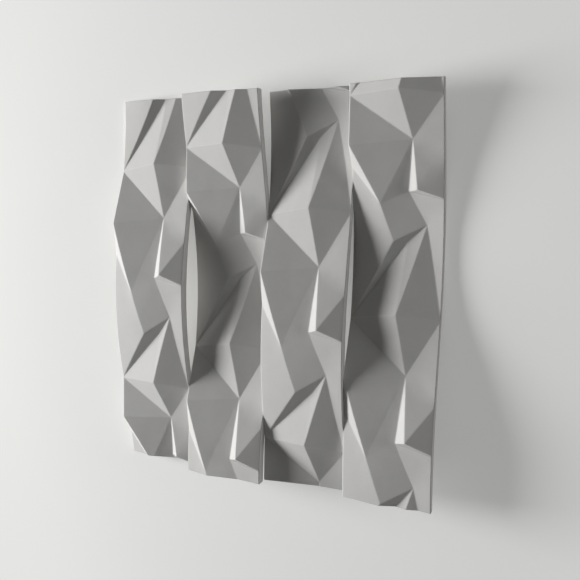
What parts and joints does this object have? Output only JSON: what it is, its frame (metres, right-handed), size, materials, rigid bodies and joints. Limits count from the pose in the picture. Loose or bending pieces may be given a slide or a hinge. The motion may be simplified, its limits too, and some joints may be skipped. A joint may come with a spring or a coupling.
{
  "type": "3d wall panel tile",
  "caption": "Rectangular relief wall tile cast as one piece: faceted strips side by side that bend in and out of the wall plane in turn, with slots open between them.",
  "frame": {"origin": "centre of the tile's rectangle on the plane that the back's bonding lands lie in", "axes": "+Z out of the face, away from the wall; +Y to the tile's top edge; +X to its right side as seen from the front"},
  "size_m": [0.532, 0.6, 0.0628],
  "materials": {
    "plaster": "matte cast gypsum plaster, off-white"
  },
  "bodies": {
    "root": {"tile": "plaster"}
  },
  "joints": []
}
